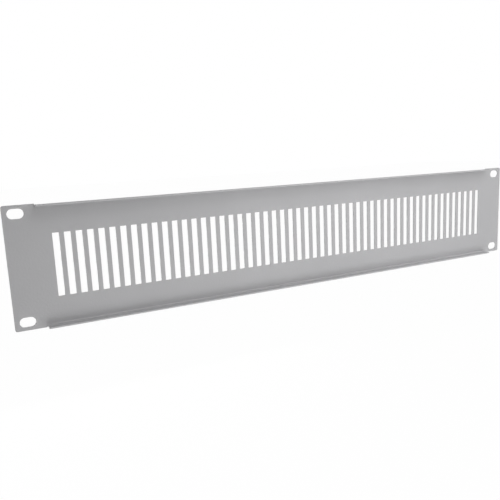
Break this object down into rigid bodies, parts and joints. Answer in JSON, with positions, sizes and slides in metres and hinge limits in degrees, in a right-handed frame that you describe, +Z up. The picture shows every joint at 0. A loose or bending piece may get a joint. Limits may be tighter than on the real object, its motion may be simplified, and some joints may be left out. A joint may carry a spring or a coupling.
{
  "type": "rack blanking panel",
  "caption": "Vented blanking panel for an equipment rack: one folded steel sheet with upright slots, oval screw holes in flat ears and a shallow flange along each long edge.",
  "frame": {"origin": "centre of the oval screw holes, on the rear face that seats against the rack's rails", "axes": "+X across the panel's width, +Y out of its rear, where the flanges point, +Z up as it hangs in the rack"},
  "size_m": [0.4826, 0.0087, 0.0882],
  "materials": {
    "powder_coat": "satin light grey powder coat"
  },
  "bodies": {
    "root": {"blanking_panel": "powder_coat"}
  },
  "joints": []
}
